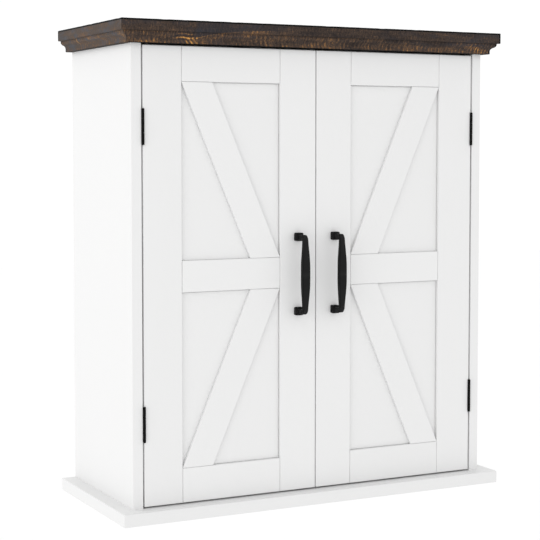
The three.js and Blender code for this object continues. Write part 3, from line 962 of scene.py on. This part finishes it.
def addCrownMember(node, length, start, mitres, place, tone):
    # A run of the moulding, drawn along +Y with its face at x = 0, mitred at one or both ends.
    low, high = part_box(node)
    shape = bmesh.new()
    crownOutline(shape, high.z - low.z)
    face = bmesh.ops.contextual_create(shape, geom=list(shape.edges))["faces"]
    drawnOut(shape, face, (0, length, 0))
    gap = crown["mitreGap"] / math.sqrt(2)
    planes = [((0, gap, 0), (1, -1, 0)), ((0, length - gap, 0), (1, 1, 0))]
    for point, normal in planes[:mitres]:
        cut = bmesh.ops.bisect_plane(
            shape, geom=[*shape.verts, *shape.edges, *shape.faces],
            plane_co=point, plane_no=normal, clear_outer=True, dist=weld)
        bmesh.ops.edgeloop_fill(shape, edges=picked(cut["geom_cut"], bmesh.types.BMEdge))
    faceOut(shape)
    arris = shape.verts.layers.float.new("arris")
    corners = [
        edge for edge in shape.edges
        if runsAlong(edge, 1) and isArris(edge) and edge.verts[0].co.x < crown["member"] - hair]
    for vert in bevelled(shape, corners, crown["arris"], 2)["verts"]:
        vert[arris] = 1.0
    longEdges = [edge for edge in shape.edges if runsAlong(edge, 1)]
    bmesh.ops.subdivide_edges(shape, edges=longEdges, cuts=int(length / crown["step"]), use_grid_fill=True)
    markBoard(shape, lambda point: (point.y + start, point.z, point.x), tone)
    crownRelief(shape, length, start, mitres)
    moulding = transformed(shape, place)
    shape.free()
    replaceNode(node, "_moulding", moulding)


def addCrown():
    left, face, foot = cadLow.x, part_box("crown_front")[0].y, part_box("crown_front")[0].z
    toFront = Matrix(((0, 1, 0, left), (1, 0, 0, face), (0, 0, 1, foot), (0, 0, 0, 1)))
    toLeft = at(left, face, foot)
    toRight = at(0, 0, 0, -1) @ toLeft
    # A tone of 1 marks the side runs, which the wood finish paints lighter, partly as a painted sheen.
    addCrownMember("crown_front", cadHigh.x - left, left, 2, toFront, 0.0)
    addCrownMember("crown_left", -face, face, 1, toLeft, 1.0)
    addCrownMember("crown_right", -face, face, 1, toRight, 1.0)


addCrown()
print("crown moulding is sawn and stained")


pull = {
    "holeSpacing": 0.096,
    "foot": 0.0106,
    "footThickness": 0.007,
    "footBack": ((0, 0.0003), (0.0003, 0)),  # rings of the foot: out from the door, and inset
    "footFront": ((0.0012, 0), (0.0004, 0.0003), (0, 0.0009)),  # and back from its front
    "neckWidth": 0.0068,
    "neckHeight": 0.0062,
    "neckRings": ((0, 0.0006), (0.0004, 0.0002), (0.0012, 0)),  # out from the foot, and swell
    "barBack": 0.0184,  # from the door's face to the back of the bar
    "barEnd": 0.0045,  # thickness of the bar
    "barMiddle": 0.0070,
    "middleWidth": 0.0110,
    "waist": 0.2,  # share of the half length that keeps the full width
    "cornerRound": 0.15,  # share of each section's size
    "fullness": 1.45,  # of the elbows
    "elbowSteps": 6,
    "barSteps": 10,
    "hole": (0.00215, 0.0070),  # radius and depth
    "rubbing": (0.80, 0.97, 0.4),  # how far a facet faces front where the painted sheen starts and is full; its least
}


def pullSection(width, height, place, lean=0.0):
    # Lays the unit section, which is 2 wide and 1 high, across the pull.
    size = Matrix.Diagonal((width / 2, 1, height, 1))
    return Matrix.Translation(place) @ Matrix.Rotation(lean, 4, "X") @ size


def pullSections():
    # From the upper foot's back to the middle of the bar.
    footLow = (pull["holeSpacing"] - pull["foot"]) / 2
    neckLow = (pull["holeSpacing"] - pull["neckHeight"]) / 2
    thick = pull["footThickness"]
    reachEnd = neckLow + pull["neckHeight"] / 2
    sections = []
    for depth, inset in [*pull["footBack"], *[(thick - back, inset) for back, inset in pull["footFront"]]]:
        size = pull["foot"] - 2 * inset
        sections.append(pullSection(size, size, (0, -depth, footLow + inset)))
    for past, swell in pull["neckRings"]:
        width, height = pull["neckWidth"] + 2 * swell, pull["neckHeight"] + 2 * swell
        sections.append(pullSection(width, height, (0, -thick - past, neckLow - swell)))

    def barSize(level):
        taper = max(0, min(1, (level / reachEnd - pull["waist"]) / (1 - pull["waist"])))
        width = pull["middleWidth"] - (pull["middleWidth"] - pull["neckWidth"]) * taper ** 2 * (3 - 2 * taper)
        return width, pull["barMiddle"] - (pull["barMiddle"] - pull["barEnd"]) * (level / reachEnd) ** 2

    power = pull["fullness"]
    endWidth, endThickness = barSize(neckLow)
    for step in range(pull["elbowSteps"] + 1):
        lean = math.pi / 2 * step / pull["elbowSteps"]
        upright = (math.cos(lean) / pull["neckHeight"]) ** power
        flat = (math.sin(lean) / endThickness) ** power
        width = pull["neckWidth"] + (endWidth - pull["neckWidth"]) * math.sin(lean)
        corner = (0, -pull["barBack"], neckLow)
        sections.append(pullSection(width, (upright + flat) ** (-1 / power), corner, lean))
    for step in range(1, pull["barSteps"] + 1):
        level = neckLow * (1 - step / pull["barSteps"])
        place = (0, -pull["barBack"], level)
        sections.append(pullSection(*barSize(level), place, math.pi / 2))
    return sections


def makePull():
    sections = pullSections()
    shape = gridShape(1, 1)
    bmesh.ops.bevel(
        shape, geom=list(shape.verts), offset=2 * pull["cornerRound"], affect="VERTICES",
        segments=3, profile=0.5, material=-1)
    upright = Matrix.Diagonal((1, 1, 0.5, 1)) @ Matrix.Rotation(math.pi / 2, 4, "X")
    bmesh.ops.transform(
        shape, matrix=sections[0] @ Matrix.Translation((0, 0, 0.5)) @ upright, verts=shape.verts)
    face = shape.faces[:][0]
    for before, after in zip(sections, sections[1:]):
        grown = bmesh.ops.extrude_face_region(shape, geom=[face])
        face = picked(grown["geom"], bmesh.types.BMFace)[0]
        bmesh.ops.transform(shape, matrix=after @ before.inverted(), verts=face.verts)
    bmesh.ops.delete(shape, geom=[face], context="FACES_ONLY")
    bmesh.ops.mirror(
        shape, geom=[*shape.verts, *shape.edges, *shape.faces], matrix=Matrix(), merge_dist=hair, axis="Z")
    faceOut(shape)
    half = pull["holeSpacing"] / 2
    radius, depth = pull["hole"]
    bores = [rodShape(radius, (0, 0.001, end), (0, -depth, end)) for end in (-half, half)]
    shape = carved(shape, merged(bores))
    shape.normal_update()
    # Facets that face the front carry a painted sheen, and every facet gets some of it.
    polish = shape.verts.layers.float.new("polish")
    start, full, least = pull["rubbing"]
    for vert in shape.verts:
        vert[polish] = max(least, min(1.0, (-vert.normal.y - start) / (full - start)))
    return shape


screws = {
    "steps": 24,
    "sunk": 0.00005,  # keeps a head just under the face that it sits in
    "head": 0.0021,  # radii of the countersunk screws, and their depths
    "shaft": 0.0011,
    "point": 0.0003,
    "depths": (0.0001, 0.0010, 0.0080, 0.0095),
    "chamfer": 0.0002,
    "sink": ((0.00225, 0), (0.00125, 0.0009), (0.00125, 0.0015)),  # their hole: radius and depth
    "sinkRise": 0.0005,  # of its cutter, over the face
    "pullShaft": 0.0019,
    "pullHeadHeight": 0.0022,
    "domeSteps": 7,
    "domeRim": 0.0002,
    "recessDepth": 0.0008,
    "recessLength": 1.25,  # over the head's radius
    "recessWaist": 0.55,  # share of a third of the length that each arm is wide
    "clear": 0.0004,  # how far the recess's cutter stands out of the head
}


def crossCutter(length, depth):
    # A tapered cross that leaves a driver's recess.
    shape = gridShape(3, length / 2)
    centres = {face: face.calc_center_median() for face in shape.faces}
    corners = [face for face, centre in centres.items() if min(abs(centre.x), abs(centre.y)) > length / 6]
    bmesh.ops.delete(shape, geom=corners, context="FACES")
    for vert in shape.verts:
        for axis in (0, 1):
            if abs(vert.co[axis]) < length / 4:
                vert.co[axis] *= screws["recessWaist"]
    bmesh.ops.dissolve_faces(shape, faces=list(shape.faces))
    tip = drawnOut(shape, shape.faces, (0, 0, -depth))
    bmesh.ops.scale(shape, verts=tip, vec=(0.5, 0.5, 1))
    faceOut(shape)
    return shape


def screwShape(profile, head, top):
    # Turned round +Z, with its driver's recess in the top.
    cutter = crossCutter(screws["recessLength"] * head, screws["recessDepth"] + screws["clear"])
    bmesh.ops.translate(cutter, verts=cutter.verts, vec=(0, 0, top + screws["clear"]))
    return carved(latheShape(profile, screws["steps"]), cutter)


def countersunkScrew():
    rim, neck, taper, tip = screws["depths"]
    head, shaft = screws["head"], screws["shaft"]
    return screwShape([
        (0, 0), (head - screws["chamfer"], 0), (head, -rim), (shaft, -neck), (shaft, -taper),
        (screws["point"], -tip), (0, -tip)], head, 0)


def screwSink():
    # Cuts a countersunk hole in a thin plate whose face is at z = 0.
    hole = [(radius, -depth) for radius, depth in screws["sink"]]
    rise = screws["sinkRise"]
    return latheShape([(0, rise), (hole[0][0], rise), *hole, (0, hole[-1][1])], screws["steps"])


def domedScrew(head, height, shaft, length):
    turns = [step * math.pi / (2 * screws["domeSteps"]) for step in range(screws["domeSteps"])]
    dome = [(head * math.sin(turn), height * math.cos(turn)) for turn in turns]
    rest = [(head, screws["domeRim"]), (head, 0), (shaft, 0), (shaft, -length), (0, -length)]
    return screwShape([*dome, *rest], head, height)


hinge = {
    "thickness": 0.0010,
    "width": 0.0130,  # behind the pin's axis
    "corner": 0.0016,
    "barrel": 0.0017,
    "bore": 0.00105,
    "boreReach": 0.03,
    "pinPlay": 0.00015,
    "clear": 0.0003,  # between the barrel and the plate
    "leafGap": 0.0003,
    "middleKnuckle": 0.0075,
    "knucklePlay": 0.0002,
    "knuckleArris": 0.00015,
    "headHeight": 0.0012,
    "headRound": 0.0003,
    "headShares": (0.92, 0.62),  # of the head's radius, at its round's middle and at its top
    "screwDepth": 0.0082,
    "screwLevels": (-0.0150, 0, 0.0150),
}


def alongX(towards):
    # Turns +Z to +X or -X.
    return Matrix.Rotation(towards * math.pi / 2, 4, "Y")


def hingeLeaf(start, knuckles, half, faceSide):
    # About the pin's axis, drawn for the right-hand side: a plate behind the barrel, and its knuckles.
    thick, clear, lap = hinge["thickness"], hinge["barrel"] + hinge["clear"], 0.001
    plate = boxShape((start, clear, -half), (start + thick, hinge["width"], half))
    corners = [edge for edge in plate.edges if runsAlong(edge, 0) and edge.verts[0].co.y > clear + lap]
    bevelled(plate, corners, hinge["corner"], 4)
    for low, high in knuckles:
        tab = boxShape((start, 0, low), (start + thick, clear + lap, high))
        plate = carved(plate, tab, "UNION")
        knuckle = rodShape(hinge["barrel"], (0, 0, low), (0, 0, high))
        easeEdges(knuckle, hinge["knuckleArris"])
        plate = carved(plate, knuckle, "UNION")
    plate = carved(plate, rodShape(hinge["bore"], (0, 0, -hinge["boreReach"]), (0, 0, hinge["boreReach"])))
    facePlane = start if faceSide < 0 else start + thick
    places = [at(facePlane, hinge["screwDepth"], level) @ alongX(faceSide) for level in hinge["screwLevels"]]
    return carved(plate, copiesAt(screwSink(), places))


def hingePin(half):
    # A shaft through the knuckles, with a head as wide as the barrel at each end.
    head, shaft, top = hinge["barrel"], hinge["bore"] - hinge["pinPlay"], half + hinge["headHeight"]
    shoulder, flat = [share * head for share in hinge["headShares"]]
    upper = [
        (shaft, half), (head, half), (head, top - 2 * hinge["headRound"]),
        (shoulder, top - hinge["headRound"]), (flat, top), (0, top)]
    return latheShape([*[(radius, -level) for radius, level in reversed(upper)], *upper], 32)


def addHinges():
    low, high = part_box("hinge_case_leaf_right_upper")
    half = (high.z - low.z) / 2
    middle = hinge["middleKnuckle"]
    outer = middle + hinge["knucklePlay"]
    axes = {joint["child"]: Vector(joint["pos_m"]) for joint in frame["joints"]}
    caseStart = high.x - axes["right_door"].x - hinge["thickness"]
    doorStart = caseStart - hinge["leafGap"] - hinge["thickness"]
    caseLeaf = hingeLeaf(caseStart, [(outer, half), (-half, -outer)], half, -1)
    doorLeaf = hingeLeaf(doorStart, [(-middle, middle)], half, 1)
    pin = hingePin(half)
    caseFace, doorFace = caseStart + screws["sunk"], doorStart + hinge["thickness"] - screws["sunk"]
    caseScrews, doorScrews = [], {hand: [] for hand in doorHands}
    for hand, side in doorHands.items():
        axis = axes[hand + "_door"]
        for level in levels:
            caseNode = f"hinge_case_leaf_{hand}_{level}"
            doorNode = f"{hand}_door_hinge_leaf_{level}"
            pinNode = f"hinge_pin_{hand}_{level}"
            low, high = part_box(caseNode)
            place = at(axis.x, axis.y, (low.z + high.z) / 2, side)
            for node, shape in ((caseNode, caseLeaf), (doorNode, doorLeaf), (pinNode, pin)):
                replaceNode(node, "_turned", transformed(shape, place))
            for rise in hinge["screwLevels"]:
                caseScrews.append(place @ at(caseFace, hinge["screwDepth"], rise) @ alongX(-1))
                doorScrews[hand].append(place @ at(doorFace, hinge["screwDepth"], rise) @ alongX(1))
    addPiece("case_hinge_screws", copiesAt(countersunkScrew(), caseScrews), "case", "black_iron")
    for hand, places in doorScrews.items():
        fastened = copiesAt(countersunkScrew(), places)
        addPiece(hand + "_door_hinge_screws", fastened, hand + "_door", "black_iron")
    for spare in (caseLeaf, doorLeaf, pin):
        spare.free()


def addPulls():
    shape = makePull()
    for hand in doorHands:
        node = hand + "_door_handle"
        low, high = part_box(node)
        place = at((low.x + high.x) / 2, high.y, (low.z + high.z) / 2)
        replaceNode(node, "_cast", transformed(shape, place))
        for level in levels:
            addPullScrew(f"{node}_screw_{level}")
    shape.free()


def addPullScrew(node):
    low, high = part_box(node)
    height = screws["pullHeadHeight"]
    screw = domedScrew((high.x - low.x) / 2, height, screws["pullShaft"], high.y - low.y - height)
    place = at((low.x + high.x) / 2, high.y - height, (low.z + high.z) / 2)
    replaceNode(node, "_turned", copiesAt(screw, [place @ toWall]))


strike = {
    "corner": 0.0020,
    "arris": 0.00015,
    "screwReach": 0.0125,  # each way from its middle
}


def addStrike(hand):
    node = hand + "_door_strike_plate"
    low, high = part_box(node)
    middle = (low + high) / 2
    shape = boxShape(low, high)
    roundCorners(shape, 1, strike["corner"])
    easeEdges(shape, strike["arris"])
    places = [at(middle.x + end * strike["screwReach"], high.y, middle.z) @ toWall for end in (-1, 1)]
    replaceNode(node, "_stamped", carved(shape, copiesAt(screwSink(), places)))
    fastened = copiesAt(countersunkScrew(), [place @ at(0, 0, -screws["sunk"]) for place in places])
    addPiece(hand + "_door_strike_screws", fastened, hand + "_door", "zinc_steel")


support = {
    "plate": 0.0014,
    "flange": 0.0010,
    "peg": 0.0024,
    "pegRoot": 0.0005,  # inside the flange
    "pegArris": 0.0004,
    "corner": 0.0018,
    "bend": 0.0009,
    "arris": 0.00015,
}


def makeSupport():
    # For the right-hand side: the plate's upper face at z = 0 and the flange's back at x = 0.
    low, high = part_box("shelf_support_upper_right_front")
    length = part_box("side_panel_right")[0].x - low.x
    width, drop = high.y - low.y, high.z - low.z
    plate, flange, peg = support["plate"], support["flange"], support["peg"]
    outline = [(-length, 0), (0, 0), (0, -drop), (-flange, -drop), (-flange, -plate), (-length, -plate)]
    shape = bmesh.new()
    section = shape.faces.new([shape.verts.new((x, -width / 2, z)) for x, z in outline])
    drawnOut(shape, [section], (0, width, 0))
    faceOut(shape)

    def isCorner(spot):
        return abs(spot.y) > width / 2 - hair and min(spot.x + length, spot.z + drop) < hair

    def isBend(spot):
        return abs(spot.y) < hair and spot.x + spot.z > -hair

    roundEdges(shape, isCorner, support["corner"])
    roundEdges(shape, isBend, support["bend"])
    easeEdges(shape, support["arris"])
    rod = rodShape(peg, (-support["pegRoot"], 0, -peg), (high.x - low.x - length, 0, -peg))
    easeEdges(rod, support["pegArris"], 2)
    return carved(shape, rod, "UNION")


def addSupports():
    shape = makeSupport()
    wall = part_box("side_panel_right")[0].x
    for node in [name for name in frame["nodes"] if name.startswith("shelf_support")]:
        low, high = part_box(node)
        side = 1 if "right" in node else -1
        place = at(side * wall, (low.y + high.y) / 2, high.z, side)
        replaceNode(node, "_pressed", transformed(shape, place))
    shape.free()


catch = {
    "ear": 0.0025,
    "earCorner": 0.0025,
    "earArris": 0.0003,
    "bodyLength": 0.030,
    "arris": 0.0006,
    "pocket": (0.0262, 0.0032, 0.0090),  # length, depth and height
    "pole": (0.0250, 0.0050, 0.0010),
    "poleArris": 0.0002,
    "poleSetback": 0.0001,
    "play": 0.0002,  # of the poles in the pocket's height
    "magnetRoom": (0.0005, 0.0007, 0.0001),  # in from the poles' ends, the mouth and the poles
    "magnetArris": 0.0003,
    "screwReach": 0.0185,
    "screw": (0.0029, 0.0016, 0.0014, 0.0115),  # head's radius and height, shaft's radius and length
    "hole": (0.0017, 0.004),  # radius and depth
}


def addCatch(hand):
    # A plastic body with two ears, and a magnet between two steel poles in its mouth.
    node = "magnetic_catch_" + hand
    low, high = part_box(node)
    middle = (low + high) / 2
    half = catch["bodyLength"] / 2
    body = boxShape((middle.x - half, low.y, low.z), (middle.x + half, high.y, high.z))
    easeEdges(body, catch["arris"], 2)
    ears = boxShape((low.x, low.y, high.z - catch["ear"]), high)
    roundCorners(ears, 2, catch["earCorner"])
    easeEdges(ears, catch["earArris"])
    mouth = Vector((middle.x, low.y, (low.z + high.z - catch["ear"]) / 2))
    long, deep, tall = catch["pocket"]
    pocket = boxShape(
        mouth - Vector((long / 2, 0.001, tall / 2)), mouth + Vector((long / 2, deep, tall / 2)))
    ends = [middle.x + end * catch["screwReach"] for end in (-1, 1)]
    radius, sunk = catch["hole"]
    bottom, top = high.z - sunk, high.z + 0.001
    holes = [rodShape(radius, (end, middle.y, bottom), (end, middle.y, top), 24) for end in ends]
    shape = carved(carved(body, ears, "UNION"), merged([pocket, *holes]))
    replaceNode(node, "_moulded", shape)
    addMagnet(node, mouth)

    screw = domedScrew(*catch["screw"])
    down = Matrix.Rotation(math.pi, 4, "X")
    seat = high.z - catch["ear"] - screws["sunk"]
    places = [at(end, middle.y, seat) @ down for end in ends]
    addPiece(node + "_screws", copiesAt(screw, places), "case", "zinc_steel")


def addMagnet(node, mouth):
    long, deep, thick = catch["pole"]
    tall = catch["pocket"][2] - catch["play"]
    poles = []
    for end in (-1, 1):
        edge = mouth + Vector((0, catch["poleSetback"], end * tall / 2))
        near, far = sorted([0, -end * thick])
        pole = boxShape(edge + Vector((-long / 2, 0, near)), edge + Vector((long / 2, deep, far)))
        easeEdges(pole, catch["poleArris"])
        poles.append(pole)
    addPiece(node + "_poles", merged(poles), "case", "zinc_steel")
    inset, setback, gap = catch["magnetRoom"]
    reach = Vector((long / 2 - inset, 0, tall / 2 - thick - gap))
    magnet = boxShape(mouth + Vector((0, setback, 0)) - reach, mouth + Vector((0, deep, 0)) + reach)
    easeEdges(magnet, catch["magnetArris"], 2)
    addPiece(node + "_magnet", magnet, "case", "black_iron", material=magnetFinish)


addHinges()
addPulls()
print("hinges and pulls are on")
addSupports()
for hand in doorHands:
    addStrike(hand)
    addCatch(hand)
print("shelf supports, strikes and catches are in")


bpy.context.view_layer.update()
